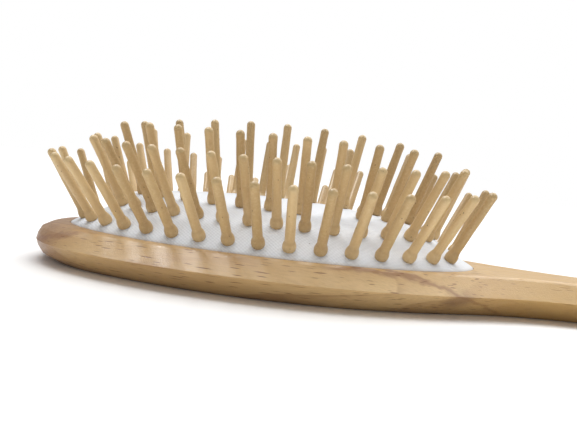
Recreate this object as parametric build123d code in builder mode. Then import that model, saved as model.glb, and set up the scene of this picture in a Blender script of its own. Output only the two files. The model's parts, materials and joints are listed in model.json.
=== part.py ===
from build123d import *
import math
import os

# Oval wooden paddle brush with turned wooden pins in a cloth-faced rubber cushion.
#
# Frame: +X runs from the middle of the cushion towards the end of the handle,
# +Z is the side of the pins, and the origin lies on the flat back,
# straight under the middle of the cushion.  All sizes are in millimetres.

os.makedirs("parts", exist_ok=True)

# ---- Driving dimensions ---------------------------------------------------

# Wooden body, one piece of beech
BODY_THICKNESS = 9.3  # flat back to the flat face round the cushion
RIDGE_HEIGHT = 5.2  # the ridge that runs round the sides, above the back
FACE_BEVEL = 4.3  # width of the bevel from the ridge up to the face
BACK_BEVEL = 6.3  # width of the bevel from the ridge down to the back
FACE_EDGE_RADIUS = 1.6
TIP_FACE_BEVEL = 3.2  # both ends are fuller than the sides, and round from face to back
TIP_BACK_BEVEL = 5.0
BACK_EDGE_RADIUS = 1.2

# One half of the ridge seen from above, from the head tip to the handle end
RIDGE_POINTS = [
    (-58.7, 0),
    (-48, 24.0),
    (-28, 33.0),
    (-6, 36.0),
    (20, 33.6),
    (44, 24.6),
    (64, 14.6),
    (86, 11.0),
    (108, 11.4),
    (132, 12.4),
    (154, 12.1),
    (164.4, 8.5),
    (168, 0),
]

# Cushion and the pocket that holds it
CUSHION_HALF_LENGTH = 52.0
CUSHION_HALF_WIDTH = 30.0
CLOTH = 0.5
RUBBER = 1.6
MOUTH_GAP = 0.15  # cloth to wood, round the mouth of the pocket
POCKET_DEPTH = 6.0
GROOVE_DROP = 1.8  # wooden face down to the undercut that grips the bead
GROOVE_HEIGHT = 2.4
GROOVE_REACH = 1.6  # how far the undercut goes outwards under the mouth
BEAD_GAP = 0.1
CLOTH_TUCK = 1.5  # how far the cloth goes down into the mouth
VENT_RADIUS = 1.0
VENT_X = -2.0

# Crown of the cushion, above the innermost ring of pins
CROWN_HEIGHT = 11.8
CROWN_FALL = 2.44  # how much lower the cloth is at the ends of the third ring

# Rings of pins: every ring sits at one height on the cushion.
# The leans are tangents, at the long sides, at the handle end and at the head end of a ring.
OUTER_RING = dict(half_length=48.4, half_width=27.1, centre=-0.1, height=2.0,
                  side_lean=0.958, handle_lean=0.377, head_lean=0.46)
SECOND_RING = dict(half_length=40.6, half_width=20.1, centre=0.8, height=6.1,
                   side_lean=0.794, handle_lean=0.372, head_lean=0.40)
THIRD_RING = dict(half_length=34.0, half_width=12.3, centre=-1.5, height=9.36,
                  side_lean=0.423, handle_lean=0.464, head_lean=0.464)
SECOND_PINS = 31
# Runs of the outer ring: first and last share of the way round, and the number of pins.
# There is a wider gap between the two runs at the handle end.
OUTER_RUNS = [(0.025, 0.486, 18), (0.514, 0.9583, 17)]
THIRD_PINS_PER_SIDE = 10
THIRD_PITCH = 7.2
CENTRE_PINS = 9
CENTRE_PITCH = 8.22
CENTRE_FIRST_X = -30.8
CENTRE_LEAN = 0.49 / 52.0  # tangent of the lean for each millimetre of x

# Turned pin, along its own axis from the seat on the cloth
PIN_LENGTH = 18.9  # seat to tip
TIP_RADIUS = 1.0
FOOT_RADIUS = 1.12
COLLAR_RADIUS = 1.5
COLLAR_SEAT_RADIUS = 1.25
COLLAR_CREASE_RADIUS = 1.08
COLLAR_HEIGHT = 2.5
NECK_RADIUS = 0.85
NECK_LENGTH = 2.6  # through cloth and rubber, with a little to spare
HEAD_RADIUS = 1.9
HEAD_THICKNESS = 1.1
HEAD_ROUNDING = 0.3
PIN_CLEARANCE = 0.12

FACE_Z = BODY_THICKNESS
GROOVE_FLOOR_Z = FACE_Z - GROOVE_DROP - GROOVE_HEIGHT


def save(part, name):
    part.label = name
    export_step(part, f"parts/{name}.step")


# ---- Wooden body ----------------------------------------------------------

FAR_RIDGE_POINTS = [(x, -y) for x, y in reversed(RIDGE_POINTS[1:-1])]
RIDGE_LOOP = [Vector(*point) for point in RIDGE_POINTS + FAR_RIDGE_POINTS]
ridge_line = Spline(*RIDGE_LOOP, periodic=True)

# Distance along the straight chords, so that all levels run alike
LOOP_STEPS = [0]
for here, ahead in zip(RIDGE_LOOP, RIDGE_LOOP[1:] + RIDGE_LOOP[:1]):
    LOOP_STEPS.append(LOOP_STEPS[-1] + (ahead - here).length)

# Levels of the body above the back, and how far the shape of each end reaches
BODY_LEVELS = [0, 1.7, 3.5, RIDGE_HEIGHT, 6.6, 8.0, BODY_THICKNESS]
HEAD_TIP_REACH = 22.0
HANDLE_TIP_REACH = 9.0


def level_outline(level):
    """Outline of the body at one level, moved in from the ridge."""
    if level < RIDGE_HEIGHT:
        share = 1 - level / RIDGE_HEIGHT
        side_bevel, tip_bevel = BACK_BEVEL, TIP_BACK_BEVEL
    else:
        share = (level - RIDGE_HEIGHT) / (BODY_THICKNESS - RIDGE_HEIGHT)
        side_bevel, tip_bevel = FACE_BEVEL, TIP_FACE_BEVEL
    side_inset = side_bevel * share
    tip_inset = tip_bevel * (1 - math.sqrt(1 - share ** 2))
    moved = []
    for point in RIDGE_LOOP:
        head_share = 1 - (point.X - RIDGE_POINTS[0][0]) / HEAD_TIP_REACH
        handle_share = 1 - (RIDGE_POINTS[-1][0] - point.X) / HANDLE_TIP_REACH
        tip_share = max(0, head_share, handle_share)
        inwards = ridge_line.tangent_at(point).rotate(Axis.Z, -90)
        moved.append(point + inwards * (side_inset + (tip_inset - side_inset) * tip_share))
    return Edge.make_spline(moved, periodic=True, parameters=LOOP_STEPS)


with BuildPart() as brush_body:
    for low_level, high_level in zip(BODY_LEVELS, BODY_LEVELS[1:]):
        for level in (low_level, high_level):
            with BuildSketch(Plane.XY.offset(level)):
                with BuildLine():
                    add(level_outline(level))
                make_face()
        loft(ruled=True)
    face_edge = brush_body.faces().sort_by(Axis.Z)[-1].edges()
    fillet(face_edge, radius=FACE_EDGE_RADIUS)
    back_edge = brush_body.faces().sort_by(Axis.Z)[0].edges()
    fillet(back_edge, radius=BACK_EDGE_RADIUS)
    # Pocket with its undercut groove
    with BuildSketch(Plane.XY.offset(FACE_Z)):
        Ellipse(CUSHION_HALF_LENGTH + MOUTH_GAP, CUSHION_HALF_WIDTH + MOUTH_GAP)
    extrude(amount=-POCKET_DEPTH, mode=Mode.SUBTRACT)
    with BuildSketch(Plane.XY.offset(GROOVE_FLOOR_Z)):
        Ellipse(CUSHION_HALF_LENGTH + GROOVE_REACH, CUSHION_HALF_WIDTH + GROOVE_REACH)
    extrude(amount=GROOVE_HEIGHT, mode=Mode.SUBTRACT)

save(brush_body.part, "brush_body")


# ---- One pin and the hole it needs ----------------------------------------

with BuildPart() as pin:
    with BuildSketch(Plane.XZ):
        with BuildLine():
            Polyline(
                (0, -NECK_LENGTH - HEAD_THICKNESS),
                (HEAD_RADIUS, -NECK_LENGTH - HEAD_THICKNESS),
                (HEAD_RADIUS, -NECK_LENGTH),
                (NECK_RADIUS, -NECK_LENGTH),
                (NECK_RADIUS, 0),
                (COLLAR_SEAT_RADIUS, 0),
            )
            ThreePointArc(
                (COLLAR_SEAT_RADIUS, 0),
                (COLLAR_RADIUS, COLLAR_HEIGHT / 2),
                (COLLAR_CREASE_RADIUS, COLLAR_HEIGHT),
            )
            Polyline(
                (COLLAR_CREASE_RADIUS, COLLAR_HEIGHT),
                (FOOT_RADIUS, COLLAR_HEIGHT + 0.25),
                (TIP_RADIUS, PIN_LENGTH - TIP_RADIUS),
            )
            RadiusArc((TIP_RADIUS, PIN_LENGTH - TIP_RADIUS), (0, PIN_LENGTH), -TIP_RADIUS)
            Line((0, PIN_LENGTH), (0, -NECK_LENGTH - HEAD_THICKNESS))
        make_face()
    revolve(axis=Axis.Z)
    head_rims = pin.edges().filter_by(GeomType.CIRCLE).sort_by(Axis.Z)[0:2]
    fillet(head_rims, radius=HEAD_ROUNDING)

# Room for the neck, for the collar above the seat and for the head below the rubber
ROOM_ABOVE = 4.0
ROOM_BELOW = 3.0
with BuildPart() as pin_room:
    with BuildSketch(Plane.XY.offset(-NECK_LENGTH)):
        Circle(NECK_RADIUS + PIN_CLEARANCE)
    extrude(amount=NECK_LENGTH)
    with BuildSketch():
        Circle(COLLAR_RADIUS + PIN_CLEARANCE)
    extrude(amount=ROOM_ABOVE)
    with BuildSketch(Plane.XY.offset(-NECK_LENGTH + PIN_CLEARANCE)):
        Circle(HEAD_RADIUS + PIN_CLEARANCE)
    extrude(amount=-ROOM_BELOW)


# ---- Places of the pins ---------------------------------------------------

def leaning(x, y, height, lean_x, lean_y):
    """A place on the cushion with its Z axis along the leaning pin."""
    seat = Plane(origin=(x, y, FACE_Z + height), z_dir=(lean_x, lean_y, 1))
    return Location(seat)


def ring_seat(ring, share):
    """Seat at a share of the way round the ring, counted from its +X end."""
    line = EllipticalCenterArc((ring["centre"], 0), ring["half_length"], ring["half_width"],
                               start_angle=0, arc_size=360)
    spot = line.position_at(share % 1.0)
    along = line.tangent_at(share % 1.0)
    out = Vector(along.Y, -along.X)
    end_lean = ring["handle_lean"] if out.X > 0 else ring["head_lean"]
    lean = ring["side_lean"] * out.Y ** 2 + end_lean * out.X ** 2
    return leaning(spot.X, spot.Y, ring["height"], lean * out.X, lean * out.Y)


outer_seats = []
for first, last, count in OUTER_RUNS:
    for k in range(count):
        outer_seats.append(ring_seat(OUTER_RING, first + (last - first) * k / (count - 1)))
second_seats = [ring_seat(SECOND_RING, k / SECOND_PINS) for k in range(SECOND_PINS)]

# The third ring is open at both ends, where the centre row passes through it
third_line = EllipticalCenterArc((0, 0), THIRD_RING["half_length"], THIRD_RING["half_width"],
                                 start_angle=0, arc_size=360)
third_share = THIRD_PITCH / third_line.length
third_steps = [k - (THIRD_PINS_PER_SIDE - 1) / 2 for k in range(THIRD_PINS_PER_SIDE)]
third_seats = [ring_seat(THIRD_RING, 0.25 + step * third_share) for step in third_steps]
third_seats += [ring_seat(THIRD_RING, 0.75 + step * third_share) for step in third_steps]

centre_seats = []
for k in range(CENTRE_PINS):
    x = CENTRE_FIRST_X + k * CENTRE_PITCH
    height = CROWN_HEIGHT - CROWN_FALL * (x / THIRD_RING["half_length"]) ** 2
    centre_seats.append(leaning(x, 0, height, CENTRE_LEAN * x, 0))

all_seats = outer_seats + second_seats + third_seats + centre_seats


# ---- Cushion --------------------------------------------------------------

# Level ovals of the cushion: half length, half width, centre, height, slope of the side
SHOULDER_SHARE = 0.45  # two more ovals between the third ring and the crown
CREST_SHARE = 0.1
CUSHION_OVALS = [(CUSHION_HALF_LENGTH, CUSHION_HALF_WIDTH, 0, 0, math.pi / 2)]
for ring in (OUTER_RING, SECOND_RING, THIRD_RING):
    slope = math.atan(ring["side_lean"])
    CUSHION_OVALS.append((ring["half_length"], ring["half_width"], ring["centre"],
                          ring["height"], slope))
for share in (SHOULDER_SHARE, CREST_SHARE):
    reach = math.sqrt(share)
    CUSHION_OVALS.append((THIRD_RING["half_length"] * reach, THIRD_RING["half_width"] * reach,
                          THIRD_RING["centre"] * reach, CROWN_HEIGHT - CROWN_FALL * share,
                          math.atan(THIRD_RING["side_lean"] * reach)))


def cushion_levels(depth):
    """The ovals of the surface that lies a given depth under the cloth face."""
    levels = []
    for half_length, half_width, centre, height, slope in CUSHION_OVALS:
        inset = depth * math.sin(slope)
        drop = depth * math.cos(slope)
        levels.append((half_length - inset, half_width - inset, centre, height - drop))
    return levels


CLOTH_FACE = cushion_levels(0)
RUBBER_FACE = cushion_levels(CLOTH)
RUBBER_INSIDE = cushion_levels(CLOTH + RUBBER)

with BuildPart() as cushion_facing:
    for surface, mode in ((CLOTH_FACE, Mode.ADD), (RUBBER_FACE, Mode.SUBTRACT)):
        for half_length, half_width, centre, height in surface:
            with BuildSketch(Plane.XY.offset(FACE_Z + height)):
                with Locations((centre, 0)):
                    Ellipse(half_length, half_width)
        loft(mode=mode)
        with BuildSketch(Plane.XY.offset(FACE_Z)):
            Ellipse(surface[0][0], surface[0][1])
        extrude(amount=-CLOTH_TUCK, mode=mode)
    with Locations(*all_seats):
        add(pin_room.part, mode=Mode.SUBTRACT)
    with Locations((VENT_X, 0, FACE_Z)):
        Cylinder(VENT_RADIUS, 4 * CROWN_HEIGHT, mode=Mode.SUBTRACT)

save(cushion_facing.part, "cushion_facing")

with BuildPart() as cushion_membrane:
    for surface, mode in ((RUBBER_FACE, Mode.ADD), (RUBBER_INSIDE, Mode.SUBTRACT)):
        for half_length, half_width, centre, height in surface:
            with BuildSketch(Plane.XY.offset(FACE_Z + height)):
                with Locations((centre, 0)):
                    Ellipse(half_length, half_width)
        loft(mode=mode)
        with BuildSketch(Plane.XY.offset(FACE_Z)):
            Ellipse(surface[0][0], surface[0][1])
        extrude(amount=GROOVE_FLOOR_Z + BEAD_GAP - FACE_Z, mode=mode)
    # Bead that snaps into the groove
    with BuildSketch(Plane.XY.offset(GROOVE_FLOOR_Z + BEAD_GAP)):
        Ellipse(CUSHION_HALF_LENGTH + GROOVE_REACH - BEAD_GAP,
                CUSHION_HALF_WIDTH + GROOVE_REACH - BEAD_GAP)
        Ellipse(RUBBER_INSIDE[0][0], RUBBER_INSIDE[0][1], mode=Mode.SUBTRACT)
    extrude(amount=GROOVE_HEIGHT - 2 * BEAD_GAP)
    with Locations(*all_seats):
        add(pin_room.part, mode=Mode.SUBTRACT)
    with Locations((VENT_X, 0, FACE_Z)):
        Cylinder(VENT_RADIUS, 4 * CROWN_HEIGHT, mode=Mode.SUBTRACT)

save(cushion_membrane.part, "cushion_membrane")


# ---- Pins, in small groups of neighbours ----------------------------------

def save_pins(seats, group_size, name):
    """One file for every group of neighbouring pins."""
    starts = range(0, len(seats), group_size)
    for number, start in enumerate(starts, start=1):
        with BuildPart() as group:
            with Locations(*seats[start:start + group_size]):
                add(pin.part)
        save(group.part, f"{name}_{number:02d}")


save_pins(outer_seats, 2, "outer_pins")
save_pins(second_seats, 2, "second_pins")
save_pins(third_seats, 2, "third_pins")
save_pins(centre_seats, 1, "centre_pin")
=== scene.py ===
import json
import math

import bpy
import numpy as np
from mathutils import Matrix, Vector


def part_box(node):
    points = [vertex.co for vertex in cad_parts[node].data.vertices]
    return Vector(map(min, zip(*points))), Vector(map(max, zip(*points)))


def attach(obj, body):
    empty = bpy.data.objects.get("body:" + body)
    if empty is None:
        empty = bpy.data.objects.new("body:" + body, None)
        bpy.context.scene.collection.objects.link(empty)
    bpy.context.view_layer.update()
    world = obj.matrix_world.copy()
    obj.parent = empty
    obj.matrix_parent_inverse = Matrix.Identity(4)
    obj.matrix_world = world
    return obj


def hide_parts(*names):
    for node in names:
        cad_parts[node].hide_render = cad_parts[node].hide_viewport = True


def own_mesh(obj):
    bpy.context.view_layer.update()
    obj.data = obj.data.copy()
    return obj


# Visual model of the oval wooden paddle brush.
# +X runs along the handle, +Z is the side of the pins, all lengths are in metres.

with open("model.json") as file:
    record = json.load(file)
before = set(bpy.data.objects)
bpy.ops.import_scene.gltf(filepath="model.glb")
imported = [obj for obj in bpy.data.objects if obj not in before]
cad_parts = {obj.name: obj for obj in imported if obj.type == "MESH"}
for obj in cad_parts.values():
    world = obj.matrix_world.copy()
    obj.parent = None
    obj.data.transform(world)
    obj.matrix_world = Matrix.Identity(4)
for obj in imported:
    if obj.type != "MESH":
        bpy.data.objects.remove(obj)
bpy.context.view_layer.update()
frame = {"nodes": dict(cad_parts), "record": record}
record = frame["record"]
MM = 0.001

body_low, body_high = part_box("brush_body")
FACE_Z = body_high[2]

# ---- Driving sizes of the soft cushion, as in the CAD ----------------------

CUSHION_HALF_LENGTH = 52.0 * MM
CUSHION_HALF_WIDTH = 30.0 * MM
CROWN_HEIGHT = 11.8 * MM
CROWN_FALL = 2.44 * MM
CLOTH = 0.5 * MM
RUBBER = 1.6 * MM
CLOTH_TUCK = 1.5 * MM
SKIRT_DROP = 4.1 * MM
BEAD_TOP_DROP = 1.9 * MM
BEAD_REACH = 1.5 * MM

# Level ovals of the cloth: half length, half width, centre, height
THIRD_OVAL = np.array([34.0, 12.3, -1.5, 9.36]) * MM
SECOND_OVAL = np.array([40.6, 20.1, 0.8, 6.1]) * MM
OUTER_OVAL = np.array([48.4, 27.1, -0.1, 2.0]) * MM
EDGE_OVAL = np.array([CUSHION_HALF_LENGTH, CUSHION_HALF_WIDTH, 0.0, 0.0])
EDGE_SLOPE = np.array([0.8, 0.8, 0.0, -0.6])  # how the cloth runs out to the edge and down

# ---- Driving sizes of a turned pin ----------------------------------------

PIN_LENGTH = 18.9 * MM
PIN_SIDES = 24
PIN_SEED = 7

# Shaft and cap of the turned profile, in millimetres
SHAFT_RADIUS = 1.11
SHAFT_TAPER = 0.1
SHAFT_STEPS = 14
CAP_RADIUS = 1.04
CAP_HEIGHT = 1.05
CAP_STEPS = 9

# Where a lathe strays from a true circle: share of the radius, waves round, turn per millimetre
TURNING_WAVES = ((0.012, 0, 0.9), (0.010, 2, 0.25), (0.008, 3, -0.5))
# Each pin takes its wood this many millimetres further along the texture than the one before
WOOD_STEP = (7.3, 3.1)

# Reading the pins of a CAD node from its mesh
WIDEST_SINGLE = 5.0 * MM  # a node wider than this holds two pins
TIP_QUANTILE = 0.9  # the points above this share of all heights are the tips
FOOT_SLICE = 0.05 * MM
AXIS_ROUNDS = 3


# ---- Mesh helpers ----------------------------------------------------------

def mesh_object(name, points, faces):
    """A smooth-shaded mesh object from points and faces."""
    mesh = bpy.data.meshes.new(name)
    mesh.from_pydata([tuple(p) for p in points], [], faces)
    mesh.validate()
    mesh.update()
    mesh.shade_smooth()
    piece = bpy.data.objects.new(name, mesh)
    bpy.context.scene.collection.objects.link(piece)
    return piece


def strip_faces(first, second, sides):
    """Quads between two closed rows of points."""
    return [(first + k, first + (k + 1) % sides, second + (k + 1) % sides, second + k)
            for k in range(sides)]


# ---- Cushion ---------------------------------------------------------------

def crown_oval(share):
    """Oval of the crown, from the apex at 0 to the third ring at 1."""
    oval = THIRD_OVAL * share
    oval[3] = CROWN_HEIGHT - CROWN_FALL * share ** 2
    return oval


def flank_ovals(steps):
    """Ovals from the third ring down to the edge, on one smooth curve."""
    stations = [THIRD_OVAL, SECOND_OVAL, OUTER_OVAL, EDGE_OVAL]
    gaps = [math.hypot(b[1] - a[1], b[3] - a[3]) for a, b in zip(stations, stations[1:])]
    crown_slope = crown_oval(1.0) - crown_oval(0.99)
    slopes = [crown_slope / math.hypot(crown_slope[1], crown_slope[3])]
    for k in (1, 2):
        before = (stations[k] - stations[k - 1]) / gaps[k - 1]
        after = (stations[k + 1] - stations[k]) / gaps[k]
        slopes.append((before * gaps[k] + after * gaps[k - 1]) / (gaps[k] + gaps[k - 1]))
    slopes.append(EDGE_SLOPE)
    ovals = []
    for k, gap in enumerate(gaps):
        for step in range(1, steps + 1):
            t = step / steps
            ovals.append(stations[k] * (2 * t ** 3 - 3 * t ** 2 + 1)
                         + slopes[k] * gap * (t ** 3 - 2 * t ** 2 + t)
                         + stations[k + 1] * (3 * t ** 2 - 2 * t ** 3)
                         + slopes[k + 1] * gap * (t ** 3 - t ** 2))
    return ovals


CROWN_STEPS = 30
FLANK_STEPS = 14
cloth_ovals = [crown_oval(k / CROWN_STEPS) for k in range(1, CROWN_STEPS + 1)]
cloth_ovals += flank_ovals(FLANK_STEPS)


def sunk(ovals, depth):
    """The same ovals on the surface that lies a given depth below."""
    crown = np.array([0.0, 0.0, 0.0, CROWN_HEIGHT])
    rows = [crown] + list(ovals)
    lower = []
    for k in range(1, len(rows)):
        ahead = rows[min(k + 1, len(rows) - 1)]
        out = ahead[1] - rows[k - 1][1]
        down = rows[k - 1][3] - ahead[3]
        size = math.hypot(out, down)
        inset, drop = depth * down / size, depth * out / size
        if k == len(rows) - 1:
            inset, drop = depth, 0.0
        lower.append(rows[k] - np.array([inset, inset, 0.0, drop]))
    return lower


def oval_points(oval, sides):
    """Points round an oval, in metres in the part's frame."""
    half_length, half_width, centre, height = oval
    turns = [2 * math.pi * k / sides for k in range(sides)]
    return [(centre + half_length * math.cos(t), half_width * math.sin(t), FACE_Z + height)
            for t in turns]


OVAL_SIDES = 240


def oval_shell(name, ovals):
    """A closed shell whose rows are ovals, with a point at each end."""
    points = [(ovals[0][2], 0.0, FACE_Z + ovals[0][3])]
    for oval in ovals[1:-1]:
        points += oval_points(oval, OVAL_SIDES)
    points.append((ovals[-1][2], 0.0, FACE_Z + ovals[-1][3]))
    rows = len(ovals) - 2
    last = len(points) - 1
    faces = [(0, 1 + k, 1 + (k + 1) % OVAL_SIDES) for k in range(OVAL_SIDES)]
    for row in range(rows - 1):
        faces += strip_faces(1 + row * OVAL_SIDES, 1 + (row + 1) * OVAL_SIDES, OVAL_SIDES)
    tail = 1 + (rows - 1) * OVAL_SIDES
    faces += [(tail + (k + 1) % OVAL_SIDES, tail + k, last) for k in range(OVAL_SIDES)]
    return mesh_object(name, points, [tuple(reversed(f)) for f in faces])


def below(oval, drop, inset=0.0):
    """The same oval further down and, if asked, further in."""
    return np.array([oval[0] - inset, oval[1] - inset, oval[2], oval[3] - drop])


def point_oval(height):
    """An oval of no size, which closes a shell on the middle line."""
    return np.array([0.0, 0.0, 0.0, height])


def build_cloth(seats):
    """The cloth facing, with its edge tucked down into the mouth of the pocket."""
    inside = sunk(cloth_ovals, CLOTH)
    tuck_steps = (0.4 * MM, 0.8 * MM, 1.2 * MM, CLOTH_TUCK)
    ovals = [point_oval(CROWN_HEIGHT)] + cloth_ovals
    ovals += [below(EDGE_OVAL, drop) for drop in tuck_steps]
    ovals += [below(EDGE_OVAL, drop, CLOTH) for drop in reversed(tuck_steps)]
    ovals += list(reversed(inside)) + [point_oval(CROWN_HEIGHT - CLOTH)]
    piece = oval_shell("cushion_cloth", ovals)
    dimple(piece, seats)
    return piece


def build_rubber_dome(seats):
    """The domed rubber sheet that lies against the cloth from inside."""
    outside = sunk(cloth_ovals, CLOTH)
    inside = sunk(cloth_ovals, CLOTH + RUBBER)
    ovals = [point_oval(CROWN_HEIGHT - CLOTH)] + outside
    ovals += list(reversed(inside)) + [point_oval(CROWN_HEIGHT - CLOTH - RUBBER)]
    piece = oval_shell("cushion_rubber", ovals)
    dimple(piece, seats)
    return piece


def build_rubber_skirt():
    """The skirt and the bead that stay in the groove."""
    outer = below(EDGE_OVAL, 0.0, CLOTH)
    inner = below(EDGE_OVAL, 0.0, CLOTH + RUBBER)
    bead = below(EDGE_OVAL, 0.0, -BEAD_REACH)
    ovals = [outer, below(outer, BEAD_TOP_DROP), below(bead, BEAD_TOP_DROP),
             below(bead, SKIRT_DROP), below(inner, SKIRT_DROP), inner]
    points = []
    for oval in ovals:
        points += oval_points(oval, OVAL_SIDES)
    faces = []
    for row in range(len(ovals)):
        faces += strip_faces(row * OVAL_SIDES, (row + 1) % len(ovals) * OVAL_SIDES, OVAL_SIDES)
    return mesh_object("cushion_bead", points, [tuple(reversed(f)) for f in faces])


DIMPLE_DEPTH = 0.16 * MM
DIMPLE_REACH = 2.1 * MM


def dimple(piece, seats):
    """Draws the cushion in a little round the foot of every pin."""
    flat = np.empty(len(piece.data.vertices) * 3)
    piece.data.vertices.foreach_get("co", flat)
    points = flat.reshape(-1, 3)
    spots = np.array([tuple(s) for s in seats])
    distance = np.linalg.norm(points[:, None, :] - spots[None, :, :], axis=2).min(axis=1)
    points[:, 2] -= DIMPLE_DEPTH * np.exp(-(distance / DIMPLE_REACH) ** 2)
    piece.data.vertices.foreach_set("co", points.ravel())
    piece.data.update()


# ---- Pins ------------------------------------------------------------------

def pin_axes(node):
    """(seat, direction) of every pin in a CAD node, read from its mesh."""
    mesh = frame["nodes"][node].data
    flat = np.empty(len(mesh.vertices) * 3)
    mesh.vertices.foreach_get("co", flat)
    points = flat.reshape(-1, 3)
    middle = points.mean(axis=0)
    high = points[points[:, 2] > np.quantile(points[:, 2], TIP_QUANTILE)].mean(axis=0)
    lean = (high - middle) / np.linalg.norm(high - middle)
    across = points - middle
    across -= np.outer(across @ lean, lean)
    side = across @ np.linalg.svd(across, full_matrices=False)[2][0]
    groups = [points]
    if np.ptp(side) > WIDEST_SINGLE:
        groups = [points[side < 0], points[side >= 0]]
    return [one_axis(group) for group in groups]


def one_axis(points):
    """(seat, direction) of a single pin, from the middle of its foot to its tip."""
    middle = points.mean(axis=0)
    line = np.linalg.svd(points - middle, full_matrices=False)[2][0]
    line *= math.copysign(1.0, line[2])
    for _ in range(AXIS_ROUNDS):
        along = points @ line
        tip = points[along.argmax()]
        foot = points[along < along.min() + FOOT_SLICE]
        foot = (foot.max(axis=0) + foot.min(axis=0)) / 2
        line = (tip - foot) / np.linalg.norm(tip - foot)
    return Vector(tip - line * PIN_LENGTH), Vector(line)


def pin_profile():
    """Radius and height of the rows of a turned pin, in millimetres from its seat."""
    hidden = [(1.6, -3.7), (1.84, -3.6), (1.9, -3.4), (1.9, -2.9), (1.82, -2.68), (1.6, -2.6),
              (0.9, -2.58), (0.85, -2.4), (0.85, -0.3), (0.9, -0.08)]
    collar = [(1.34, -0.05), (1.43, 0.12), (1.5, 0.4), (1.53, 0.75), (1.51, 1.1), (1.45, 1.5),
              (1.36, 1.85), (1.25, 2.15), (1.16, 2.42), (1.11, 2.7), (1.1, 3.1)]
    low, high = 3.6, 16.6
    shaft = []
    for k in range(SHAFT_STEPS + 1):
        height = low + (high - low) * k / SHAFT_STEPS
        shaft.append((SHAFT_RADIUS - SHAFT_TAPER * (height - low) / (high - low), height))
    centre = PIN_LENGTH / MM - CAP_HEIGHT
    cap = [(1.03, centre - 0.7)]
    for k in range(CAP_STEPS):
        turn = math.pi / 2 * k / CAP_STEPS
        cap.append((CAP_RADIUS * math.cos(turn), centre + CAP_HEIGHT * math.sin(turn)))
    return hidden + collar + shaft + cap


PROFILE = pin_profile()


def uneven(height, angle, phases):
    """How far a turned pin strays from its true radius at one spot, as a share near 1."""
    if height <= 0:
        return 1.0
    return 1.0 + sum(size * math.sin(waves * angle + phase + twist * height)
                     for (size, waves, twist), phase in zip(TURNING_WAVES, phases))


def build_pins(name, axes, first_number, rng):
    """The pins of one node as one mesh, with each pin's own place and tone."""
    points, faces, local, tones = [], [], [], []
    for number, (seat, direction) in enumerate(axes, start=first_number):
        turn = direction.to_track_quat("Z", "Y").to_matrix()
        tone = rng.random()
        phases = rng.random(len(TURNING_WAVES)) * 2 * math.pi
        wood_x, wood_y = WOOD_STEP[0] * number, WOOD_STEP[1] * number
        start = len(points)
        for radius, height in PROFILE:
            for side in range(PIN_SIDES):
                angle = 2 * math.pi * side / PIN_SIDES
                reach = radius * uneven(height, angle, phases)
                spot = Vector((reach * math.cos(angle), reach * math.sin(angle), height))
                points.append(seat + turn @ spot * MM)
                local.append((spot.x + wood_x, spot.y + wood_y, spot.z))
                tones.append(tone)
        rows = len(PROFILE)
        for row in range(rows - 1):
            faces += strip_faces(start + row * PIN_SIDES, start + (row + 1) * PIN_SIDES, PIN_SIDES)
        faces.append(tuple(reversed(range(start, start + PIN_SIDES))))
        top = start + (rows - 1) * PIN_SIDES
        points.append(seat + direction * PIN_LENGTH)
        local.append((wood_x, wood_y, PIN_LENGTH / MM))
        tones.append(tone)
        faces += [(top + k, top + (k + 1) % PIN_SIDES, len(points) - 1) for k in range(PIN_SIDES)]
    piece = mesh_object(name, points, faces)
    place = piece.data.attributes.new("pin_place", "FLOAT_VECTOR", "POINT")
    place.data.foreach_set("vector", np.array(local, dtype=np.float32).ravel())
    shade = piece.data.attributes.new("pin_tone", "FLOAT", "POINT")
    shade.data.foreach_set("value", np.array(tones, dtype=np.float32))
    return piece


# ---- Materials -------------------------------------------------------------

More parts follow.
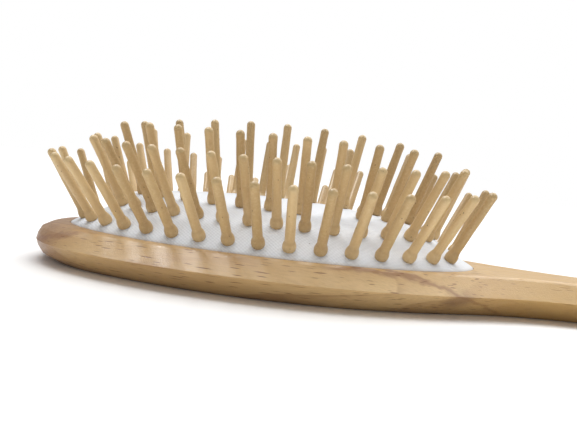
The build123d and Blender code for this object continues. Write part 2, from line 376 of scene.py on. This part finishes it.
class Surface:
    """A node material that is built up line by line."""

    def __init__(self, name, **settings):
        self.material = bpy.data.materials.new(name)
        self.material.use_nodes = True
        self.tree = self.material.node_tree
        self.shader = self.tree.nodes["Principled BSDF"]
        for socket, value in settings.items():
            self.shader.inputs[socket.replace("_", " ")].default_value = value

    def node(self, kind, **settings):
        made = self.tree.nodes.new("ShaderNode" + kind)
        for key, value in settings.items():
            setattr(made, key, value)
        return made

    def put(self, socket, value):
        """Links another node's output to a socket, or sets the socket's own value."""
        if isinstance(value, bpy.types.NodeSocket):
            self.tree.links.new(value, socket)
        elif socket.type == "RGBA":
            socket.default_value = (*value, 1.0)
        else:
            socket.default_value = value

    def feed(self, node, **inputs):
        for socket, value in inputs.items():
            self.put(self.find(node, socket), value)
        return node

    @staticmethod
    def find(node, socket):
        wanted = socket.replace("_", " ").lower()
        for item in node.inputs:
            if item.enabled and item.name.lower() == wanted:
                return item
        raise KeyError(f"{node.bl_idname} has no input {socket}")

    def place(self):
        """Place in the part's frame, in millimetres."""
        scale = self.node("VectorMath", operation="SCALE")
        self.put(scale.inputs[0], self.node("TexCoord").outputs["Object"])
        self.put(scale.inputs["Scale"], 1.0 / MM)
        return scale.outputs[0]

    def axes(self, place):
        """The x, y and z of a place."""
        parts = self.node("SeparateXYZ")
        self.put(parts.inputs[0], place)
        return parts.outputs

    def stretched(self, place, scale, shift=(0, 0, 0)):
        mapping = self.node("Mapping")
        self.feed(mapping, Vector=place, Scale=scale, Location=shift)
        return mapping.outputs[0]

    def noise(self, place, scale=1.0, detail=3.0, roughness=0.5):
        made = self.node("TexNoise")
        self.feed(made, Vector=place, Scale=scale, Detail=detail, Roughness=roughness)
        return made.outputs["Fac"]

    def cells(self, place, scale=1.0):
        """Scattered cells: distance from the middle of a cell, and its random numbers."""
        made = self.node("TexVoronoi")
        self.feed(made, Vector=place, Scale=scale, Randomness=1.0)
        tint = self.node("SeparateColor")
        self.put(tint.inputs[0], made.outputs["Color"])
        return made.outputs["Distance"], tint.outputs

    def math(self, operation, first, second=0.0):
        made = self.node("Math", operation=operation)
        self.put(made.inputs[0], first)
        self.put(made.inputs[1], second)
        return made.outputs[0]

    def ramp(self, value, low, high, to_low=0.0, to_high=1.0):
        made = self.node("MapRange", interpolation_type="SMOOTHSTEP")
        self.feed(made, Value=value, From_Min=low, From_Max=high, To_Min=to_low, To_Max=to_high)
        return made.outputs[0]

    def mix(self, factor, first, second):
        made = self.node("Mix", data_type="RGBA")
        self.put(made.inputs[0], factor)
        self.put(made.inputs[6], first)
        self.put(made.inputs[7], second)
        return made.outputs[2]

    def bump(self, height, strength, distance, under=None):
        made = self.node("Bump")
        self.feed(made, Height=height, Strength=strength, Distance=distance)
        if under is not None:
            self.put(made.inputs["Normal"], under)
        return made.outputs[0]

    def finish(self, **inputs):
        self.feed(self.shader, **inputs)
        return self.material


# Woods of the body and the browns of its painted shade, from pale to dark, as linear RGB
BEECH_PALE = (0.745, 0.525, 0.25)
BEECH_WARM = (0.62, 0.39, 0.16)
NECK_GOLD = (0.52, 0.315, 0.10)
LATE_WOOD = (0.50, 0.29, 0.125)
FIBRE_BROWN = (0.40, 0.235, 0.11)
# Painted shade on the lower bevel
LOW_SHADE_BROWN = (0.40, 0.25, 0.13)
LAYER_BROWN = (0.36, 0.185, 0.075)
VEIN_BROWN = (0.33, 0.155, 0.06)
# Painted shade near the bottom of the body
FOOT_SHADE_BROWN = (0.30, 0.17, 0.08)
END_BROWN = (0.27, 0.135, 0.075)
FLECK_BROWN = (0.20, 0.072, 0.022)
KNOT_BROWN = (0.19, 0.095, 0.05)

PITH_Y = 26.0  # the pith line of the tree, in millimetres
PITH_Z = -34.0
LAYER_PITCH = 6.0
KNOT_SCALE = (0.75, 0.8, 0.9)
KNOT_SPOT = (35.8, -17.2, 2.9)  # middle of the knot, in places scaled by KNOT_SCALE
# Stretch, shift, size and share left blank of each scatter of ray flecks
FLECK_SCATTERS = (((0.11, 0.5, 2.0), 0.0, 0.27, 0.42),
                  ((0.18, 0.7, 2.8), 9.7, 0.27, 0.46),
                  ((0.08, 0.42, 1.5), 4.3, 0.21, 0.48))


def growth_layers(s, place, colour):
    """Layers round a pith line well below the brush, bent by slow noise."""
    x, y, z = s.axes(place)
    sway = s.noise(s.stretched(place, (0.014, 0.03, 0.05), shift=(0.6, 2.2, 5.0)), detail=1.5)
    side = s.math("SUBTRACT", y, PITH_Y)
    depth = s.math("SUBTRACT", z, PITH_Z)
    reach = s.math("SQRT", s.math("ADD", s.math("MULTIPLY", side, side),
                                  s.math("MULTIPLY", depth, depth)))
    layer = s.math("ADD", s.math("ADD", reach, s.math("MULTIPLY", sway, 34.0)),
                   s.math("MULTIPLY", x, 0.06))
    part = s.math("FRACT", s.math("DIVIDE", layer, LAYER_PITCH))
    line = s.math("MULTIPLY", s.ramp(part, 0.78, 0.95), s.ramp(part, 1.0, 0.96))
    patchy = s.noise(s.stretched(place, (0.03, 0.12, 0.12)), detail=2.0)
    fade = s.ramp(x, 20.0, 45.0, 1.0, 0.35)
    shown = s.math("MULTIPLY", fade, s.ramp(patchy, 0.40, 0.62, 0.1, 0.6))
    colour = s.mix(s.math("MULTIPLY", line, shown), colour, LAYER_BROWN)
    return s.mix(s.math("MULTIPLY", s.ramp(part, 0.2, 0.9), 0.22), colour, LATE_WOOD)


def strong_veins(s, place, ragged, colour):
    """Two veins: one rises from the ridge near the head, one falls to it at the neck."""
    x, _, z = s.axes(place)
    wobble = s.math("MULTIPLY", s.math("SUBTRACT", ragged, 0.5), 3.0)
    rise = s.math("SUBTRACT", s.math("SUBTRACT", z, 5.6),
                  s.math("MULTIPLY", s.math("ADD", x, 52.0), 0.24))
    past = s.math("MAXIMUM", s.math("SUBTRACT", x, 27.0), 0.0)
    fall = s.math("ADD", s.math("SUBTRACT", z, 8.9),
                  s.math("MULTIPLY", s.math("MULTIPLY", past, past), 0.0088))
    for vein, strength, start, end in ((rise, 0.75, -36.0, -42.0), (fall, 0.8, 14.0, 24.0)):
        off = s.math("ABSOLUTE", s.math("ADD", vein, wobble))
        drawn = s.math("MULTIPLY", s.ramp(off, 0.75, 0.1), s.ramp(x, start, end, 0.0, strength))
        colour = s.mix(drawn, colour, VEIN_BROWN)
    return colour


def ray_flecks(s, place):
    """Short dashes along the grain, 1 on a dash and 0 between them."""
    x, y, z = s.axes(place)
    bent = s.noise(s.stretched(place, (0.03, 0.08, 0.08)), detail=1.0)
    shifted = s.node("CombineXYZ")
    s.feed(shifted, X=x, Y=s.math("ADD", y, bent), Z=s.math("ADD", z, bent))
    flecks = None
    for scale, shift, size, blank in FLECK_SCATTERS:
        distance, tint = s.cells(s.stretched(shifted.outputs[0], scale, shift=(shift, shift, 0)))
        shape = s.ramp(distance, size, size * 0.4)
        dash = s.math("MULTIPLY", shape, s.ramp(tint[0], blank, blank + 0.3))
        flecks = dash if flecks is None else s.math("MAXIMUM", flecks, dash)
    return flecks


def shaded_low_and_warm(s, place, colour):
    """Browner low down and darker near the bottom, both painted shade of the downward faces;
    redder where end grain drinks lacquer, golden from the neck on.
    """
    x, _, z = s.axes(place)
    # Noise that roughens the edges of the painted shade and of the end grain
    shade_and_end_noise = s.noise(s.stretched(place, (0.10, 0.2, 0.3)), detail=3.0)
    # Painted shade on the lower bevel, which faces down
    low = s.ramp(s.math("ADD", z, s.math("MULTIPLY", shade_and_end_noise, 1.2)), 6.2, 5.0)
    colour = s.mix(s.math("MULTIPLY", low, 0.16), colour, LOW_SHADE_BROWN)
    # Painted shade, darker still near the bottom of the body
    foot = s.ramp(s.math("ADD", z, s.math("MULTIPLY", shade_and_end_noise, 2.0)), 2.6, 1.0)
    colour = s.mix(s.math("MULTIPLY", foot, 0.45), colour, FOOT_SHADE_BROWN)
    ends = s.math("ADD", s.ramp(x, -34.0, -55.0), s.ramp(x, 158.0, 170.0))
    colour = s.mix(s.math("MULTIPLY", ends, s.ramp(shade_and_end_noise, 0.25, 0.75, 0.65, 0.95)), colour,
                   END_BROWN)
    return s.mix(s.ramp(x, 36.0, 70.0, 0.0, 0.7), colour, NECK_GOLD)


def neck_knot(s, place, ragged, colour):
    """A dark curl of grain on the side of the neck."""
    knot = s.node("VectorMath", operation="DISTANCE")
    s.put(knot.inputs[0], s.stretched(place, KNOT_SCALE))
    s.put(knot.inputs[1], KNOT_SPOT)
    curl = s.math("ADD", knot.outputs["Value"], s.math("MULTIPLY", ragged, 4.5))
    return s.mix(s.ramp(curl, 6.6, 2.8, 0.0, 0.62), colour, KNOT_BROWN)


def beech_body():
    s = Surface("beech_lacquered", Specular_IOR_Level=0.35, Coat_Weight=0.3, Coat_Roughness=0.22)
    place = s.place()
    slow = s.noise(s.stretched(place, (0.012, 0.06, 0.10), shift=(3.1, 0.4, 1.7)), detail=2.0)
    colour = s.mix(s.ramp(slow, 0.35, 0.68), BEECH_WARM, BEECH_PALE)
    colour = growth_layers(s, place, colour)
    ragged = s.noise(s.stretched(place, (0.11, 0.35, 0.35)), detail=3.0, roughness=0.55)
    colour = strong_veins(s, place, ragged, colour)
    fibre = s.noise(s.stretched(place, (0.10, 3.2, 3.2)), detail=4.0, roughness=0.6)
    colour = s.mix(s.ramp(fibre, 0.35, 0.7, 0.0, 0.24), colour, FIBRE_BROWN)
    flecks = ray_flecks(s, place)
    clumps = s.ramp(s.noise(s.stretched(place, (0.03, 0.1, 0.1), shift=(8, 1, 2))), 0.32, 0.58,
                    0.55, 1.0)
    colour = s.mix(s.math("MULTIPLY", flecks, s.math("MULTIPLY", clumps, 0.9)), colour,
                   FLECK_BROWN)
    colour = shaded_low_and_warm(s, place, colour)
    colour = neck_knot(s, place, ragged, colour)
    pores = s.noise(s.stretched(place, (0.5, 6.0, 6.0)), detail=2.0)
    relief = s.bump(s.math("SUBTRACT", s.math("MULTIPLY", pores, 0.4), flecks), 0.35, 0.00008)
    speckle = s.noise(place, scale=3.2, detail=3.0, roughness=0.6)
    normal = s.bump(speckle, 0.4, 0.0002, under=relief)
    gloss = s.ramp(s.noise(s.stretched(place, (0.2, 1.0, 1.0)), detail=3.0), 0.3, 0.7, 0.38, 0.52)
    return s.finish(Base_Color=colour, Roughness=gloss, Normal=normal, Coat_Normal=normal)


PIN_PALE = (0.70, 0.51, 0.26)
PIN_WARM = (0.49, 0.33, 0.145)
PIN_CLOUD = (0.50, 0.335, 0.155)
PIN_STREAK = (0.48, 0.31, 0.15)
PIN_MOTTLE = (0.82, 0.68, 0.43)
PIN_SPECK = (0.12, 0.06, 0.025)
# Painted shade in the crease above the collar and at the foot of a pin
PIN_CREASE_SHADE = (0.36, 0.22, 0.10)
# Painted shade on the round tip of a pin
PIN_TIP_SHADE = (0.46, 0.34, 0.15)


def pin_wood():
    s = Surface("pin_wood_turned", Coat_Weight=0.12, Coat_Roughness=0.35)
    place = s.node("Attribute", attribute_name="pin_place").outputs["Vector"]
    tone = s.node("Attribute", attribute_name="pin_tone").outputs["Fac"]
    colour = s.mix(tone, PIN_WARM, PIN_PALE)
    cloudy = s.noise(s.stretched(place, (0.35, 0.35, 0.08)), detail=2.0)
    colour = s.mix(s.ramp(cloudy, 0.35, 0.7, 0.0, 0.4), colour, PIN_CLOUD)
    streak = s.noise(s.stretched(place, (1.6, 1.6, 0.10)), detail=3.0, roughness=0.6)
    colour = s.mix(s.ramp(streak, 0.42, 0.72, 0.0, 0.2), colour, PIN_STREAK)
    mottle = s.noise(place, scale=2.2, detail=3.0)
    colour = s.mix(s.ramp(mottle, 0.4, 0.75, 0.0, 0.18), colour, PIN_MOTTLE)
    distance, tint = s.cells(s.stretched(place, (1.5, 1.5, 0.7)))
    speck = s.math("MULTIPLY", s.ramp(distance, 0.2, 0.08), s.ramp(tint[0], 0.84, 0.92))
    colour = s.mix(s.math("MULTIPLY", speck, 0.8), colour, PIN_SPECK)
    height = s.axes(place)[2]
    # Painted shade darkens the crease above the collar and the foot a little
    crease_shade = s.math("MULTIPLY", s.ramp(height, 1.9, 2.5), s.ramp(height, 3.4, 2.6))
    foot = s.ramp(height, 0.6, 0.0)
    colour = s.mix(s.math("MULTIPLY", s.math("MAXIMUM", crease_shade, foot), 0.18), colour, PIN_CREASE_SHADE)
    # Painted shade makes the round tip a little darker and greener
    tip = s.ramp(height, 17.2, 18.6)
    colour = s.mix(s.math("MULTIPLY", tip, 0.22), colour, PIN_TIP_SHADE)
    turning = s.noise(s.stretched(place, (0.15, 0.15, 2.4)), detail=2.0)
    grain = s.math("ADD", s.math("MULTIPLY", streak, 0.4), s.math("MULTIPLY", turning, 0.6))
    normal = s.bump(grain, 0.25, 0.00014)
    gloss = s.ramp(streak, 0.3, 0.7, 0.42, 0.6)
    return s.finish(Base_Color=colour, Roughness=gloss, Normal=normal)


THREAD_SHADE = (0.71, 0.755, 0.82)
THREAD_LIGHT = (0.82, 0.87, 0.94)
CLOTH_GREY = (0.79, 0.79, 0.785)
CLOTH_CREAM = (0.83, 0.81, 0.79)
CLOTH_SPECK = (0.28, 0.26, 0.25)
# Painted shade in the fold of the cloth into the wood
CLOTH_FOLD_SHADE = (0.55, 0.48, 0.40)

WEAVE_PITCH = 0.72  # from one rib of the twill to the next, in millimetres
WEFT_PITCH = WEAVE_PITCH * 0.8
RIB_X, RIB_Y = 0.78, 0.62  # direction across the ribs


def threads(s, along, bend, pitch):
    """Even waves of one set of threads."""
    return s.math("SINE", s.math("MULTIPLY", s.math("ADD", along, bend), 2 * math.pi / pitch))


def white_cloth():
    s = Surface("cloth_woven_white", Roughness=0.85, Sheen_Weight=0.2, Sheen_Roughness=0.5,
                Specular_IOR_Level=0.25)
    place = s.place()
    x, y, z = s.axes(place)
    # A fine twill: raised diagonal ribs crossed by the weft threads
    wander = s.noise(s.stretched(place, (0.25, 0.25, 0.25)), detail=2.0)
    bend = s.math("ADD", s.math("MULTIPLY", wander, 0.9), s.math("MULTIPLY", z, 0.6))
    across = s.math("ADD", s.math("MULTIPLY", x, RIB_X), s.math("MULTIPLY", y, RIB_Y))
    along = s.math("SUBTRACT", s.math("MULTIPLY", x, RIB_Y), s.math("MULTIPLY", y, RIB_X))
    rib = threads(s, across, bend, WEAVE_PITCH)
    weft = threads(s, along, bend, WEFT_PITCH)
    weave = s.math("ADD", s.math("MULTIPLY", rib, 0.42), s.math("MULTIPLY", weft, 0.30))
    fluff = s.noise(place, scale=3.0, detail=4.0, roughness=0.65)
    weave = s.math("ADD", weave, s.math("MULTIPLY", fluff, 0.9))
    colour = s.mix(s.ramp(weave, -0.4, 1.2), THREAD_SHADE, THREAD_LIGHT)
    cloudy = s.noise(s.stretched(place, (0.05, 0.08, 0.08)), detail=3.0)
    colour = s.mix(s.ramp(cloudy, 0.35, 0.7, 0.0, 0.3), colour, CLOTH_GREY)
    colour = s.mix(s.ramp(x, -10.0, 50.0, 0.0, 0.2), colour, CLOTH_CREAM)
    distance, tint = s.cells(place, scale=0.22)
    speck = s.math("MULTIPLY", s.ramp(distance, 0.05, 0.025), s.ramp(tint[1], 0.55, 0.7))
    colour = s.mix(s.math("MULTIPLY", speck, 0.6), colour, CLOTH_SPECK)
    # Painted shade darkens the cloth where it folds into the wood
    fold_shade = s.ramp(z, 9.9, 9.2)
    colour = s.mix(s.math("MULTIPLY", fold_shade, 0.45), colour, CLOTH_FOLD_SHADE)
    normal = s.bump(weave, 0.38, 0.0001)
    normal = s.bump(cloudy, 0.25, 0.0006, under=normal)
    return s.finish(Base_Color=colour, Normal=normal)


RUBBER_DARK = (0.60, 0.53, 0.45)
RUBBER_PALE = (0.68, 0.62, 0.54)


def pale_rubber():
    s = Surface("rubber_pale", Roughness=0.6)
    place = s.place()
    dust = s.noise(place, scale=0.8, detail=4.0)
    colour = s.mix(s.ramp(dust, 0.3, 0.7), RUBBER_DARK, RUBBER_PALE)
    normal = s.bump(s.noise(place, scale=4.0, detail=3.0), 0.3, 0.0001)
    gloss = s.ramp(dust, 0.3, 0.7, 0.5, 0.7)
    return s.finish(Base_Color=colour, Roughness=gloss, Normal=normal)


FLOOR_SHADE = (0.95, 0.95, 0.95)
FLOOR_LIGHT = (0.97, 0.97, 0.97)


def plain_floor():
    s = Surface("floor_pale", Roughness=0.9, Specular_IOR_Level=0.1)
    colour = s.mix(s.noise(s.place(), scale=0.02, detail=2.0), FLOOR_SHADE, FLOOR_LIGHT)
    return s.finish(Base_Color=colour)


# ---- Object ----------------------------------------------------------------

bodies = record["behaviour"]["bodies"]
pin_nodes = [(body, node) for body, nodes in bodies.items() for node in nodes if "pin" in node]

rng = np.random.default_rng(PIN_SEED)
wood_of_pins = pin_wood()
seats = []
pin_number = 0
for body, node in pin_nodes:
    axes = pin_axes(node)
    seats += [seat for seat, _ in axes]
    pins = build_pins(f"{node}_turned", axes, pin_number, rng)
    pin_number += len(axes)
    pins.data.materials.append(wood_of_pins)
    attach(pins, body)
    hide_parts(node)

root = next(body for body, nodes in bodies.items() if "brush_body" in nodes)
wood = frame["nodes"]["brush_body"]
beech = beech_body()
for slot in wood.material_slots:
    slot.material = beech

rubber_look = pale_rubber()

cloth = build_cloth(seats)
cloth.data.materials.append(white_cloth())
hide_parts("cushion_facing")

rubber = build_rubber_dome(seats)
rubber.data.materials.append(rubber_look)
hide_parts("cushion_membrane")

bead = build_rubber_skirt()
bead.data.materials.append(rubber_look)
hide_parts("cushion_membrane")

for piece in (cloth, rubber, bead):
    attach(piece, root)
for piece in (cloth, rubber):
    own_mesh(piece)

# ---- Floor, light and camera -----------------------------------------------

FLOOR_SIZE = 12.0
floor_points = [(-FLOOR_SIZE, -FLOOR_SIZE, 0), (FLOOR_SIZE, -FLOOR_SIZE, 0),
                (FLOOR_SIZE, FLOOR_SIZE, 0), (-FLOOR_SIZE, FLOOR_SIZE, 0)]
floor = mesh_object("floor", [(x, y, body_low[2] - 0.05 * MM) for x, y, _ in floor_points],
                    [(0, 1, 2, 3)])
floor.data.materials.append(plain_floor())


def aim(light, place, target):
    """Puts a light in the scene, pointing from one place at another."""
    bpy.context.scene.collection.objects.link(light)
    light.location = place
    light.rotation_mode = "QUATERNION"
    light.rotation_quaternion = (Vector(target) - Vector(place)).to_track_quat("-Z", "Y")


def soft_sun(name, direction, angle, strength):
    data = bpy.data.lights.new(name, "SUN")
    data.angle = math.radians(angle)
    data.energy = strength
    aim(bpy.data.objects.new(name, data), direction, (0, 0, 0))


def lamp(name, place, target, size, power):
    data = bpy.data.lights.new(name, "AREA")
    data.shape = "DISK"
    data.size = size
    data.energy = power
    light = bpy.data.objects.new(name, data)
    aim(light, place, target)
    return light


soft_sun("sky_above", direction=(0.45, 0.75, 1.5), angle=70.0, strength=2.95)
lamp("ceiling_lamp", place=(-0.33, 0.07, 0.78), target=(0.0, 0.0, 0.01), size=0.34, power=1.7)
# A smaller lamp that only shows as a gleam in the lacquer
gleam = lamp("lacquer_gleam", place=(-0.36, 0.06, 0.75), target=(-0.02, -0.03, 0.01), size=0.22,
             power=5.0)
gleam.visible_diffuse = False

# The room lights the brush gently, and the camera sees it as a plain white background
ROOM_STRENGTH = 0.37
world = bpy.data.worlds.new("pale_room")
bpy.context.scene.world = world
world.use_nodes = True
world_tree = world.node_tree
room = world_tree.nodes["Background"]
room.inputs["Color"].default_value = (0.98, 0.99, 1.0, 1.0)
room.inputs["Strength"].default_value = ROOM_STRENGTH
wall = world_tree.nodes.new("ShaderNodeBackground")
wall.inputs["Color"].default_value = (1.0, 1.0, 1.0, 1.0)
seen = world_tree.nodes.new("ShaderNodeLightPath")
either = world_tree.nodes.new("ShaderNodeMixShader")
world_tree.links.new(seen.outputs["Is Camera Ray"], either.inputs[0])
world_tree.links.new(room.outputs[0], either.inputs[1])
world_tree.links.new(wall.outputs[0], either.inputs[2])
world_tree.links.new(either.outputs[0], world_tree.nodes["World Output"].inputs["Surface"])

CAMERA_AZIMUTH = math.radians(8.96)
CAMERA_ELEVATION = math.radians(3.59)
CAMERA_ROLL = math.radians(6.08)
CAMERA_DISTANCE = 165.8 * MM
CAMERA_SIDE = 5.72 * MM  # the middle of the cushion lies this far left of the view's centre
CAMERA_DROP = 6.60 * MM  # and this far below it
LENS = 40.0


def set_camera():
    """The photograph's view, set out from the middle of the cushion."""
    back = Vector((math.sin(CAMERA_AZIMUTH) * math.cos(CAMERA_ELEVATION),
                   -math.cos(CAMERA_AZIMUTH) * math.cos(CAMERA_ELEVATION),
                   math.sin(CAMERA_ELEVATION)))
    level_right = Vector((math.cos(CAMERA_AZIMUTH), math.sin(CAMERA_AZIMUTH), 0.0))
    level_up = back.cross(level_right)
    right = level_right * math.cos(CAMERA_ROLL) + level_up * math.sin(CAMERA_ROLL)
    up = level_up * math.cos(CAMERA_ROLL) - level_right * math.sin(CAMERA_ROLL)
    cushion_middle = Vector((0.0, 0.0, FACE_Z))
    place = cushion_middle + right * CAMERA_SIDE + up * CAMERA_DROP + back * CAMERA_DISTANCE
    data = bpy.data.cameras.new("camera")
    data.sensor_width = 36.0
    data.lens = LENS
    data.clip_start = 0.01
    data.clip_end = 50.0
    camera = bpy.data.objects.new("camera", data)
    bpy.context.scene.collection.objects.link(camera)
    turn = Matrix((right, up, back)).transposed()
    camera.matrix_world = Matrix.Translation(place) @ turn.to_4x4()
    bpy.context.scene.camera = camera


set_camera()
bpy.context.scene.view_settings.view_transform = "Standard"
